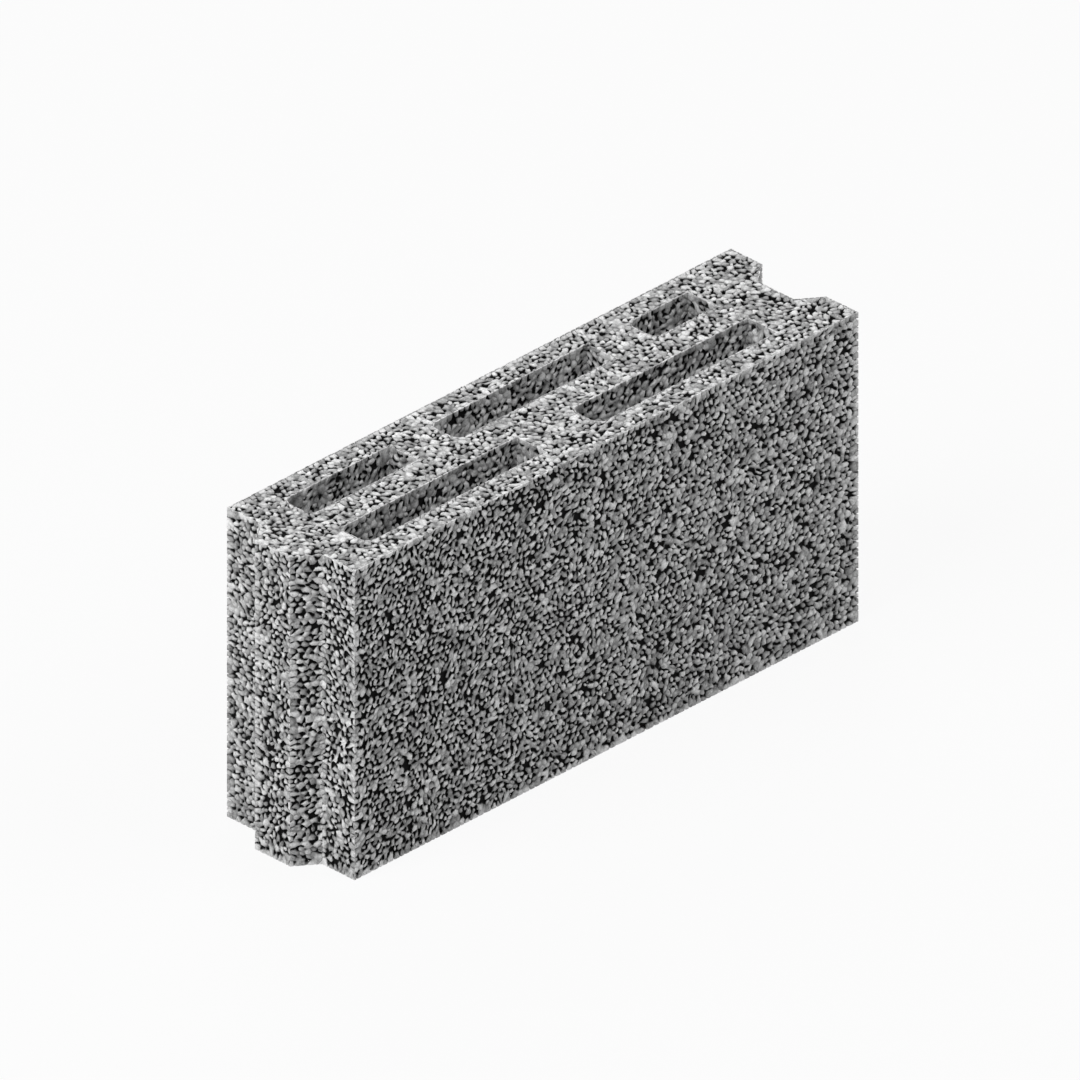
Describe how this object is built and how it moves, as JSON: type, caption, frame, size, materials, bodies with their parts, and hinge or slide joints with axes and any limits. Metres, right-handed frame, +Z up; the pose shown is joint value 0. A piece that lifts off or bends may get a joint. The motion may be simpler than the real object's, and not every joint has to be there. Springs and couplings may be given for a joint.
{
  "type": "hollow concrete block",
  "caption": "Hollow wall block of open-textured lightweight concrete, with staggered rows of upright slots, a tongue on one end and a matching groove on the other.",
  "frame": {"origin": "middle of the body's lower bed face, halfway between the two end faces and between the front and back faces, the tongue left out", "axes": "+X along the wall from the tongue to the groove, +Y across the wall from the front face to the back face, +Z up"},
  "size_m": [0.4145, 0.1, 0.2],
  "materials": {
    "concrete": "open-textured concrete of light grey granules with dark gaps between them, dry and matt"
  },
  "bodies": {
    "root": {"block": "concrete"}
  },
  "joints": []
}
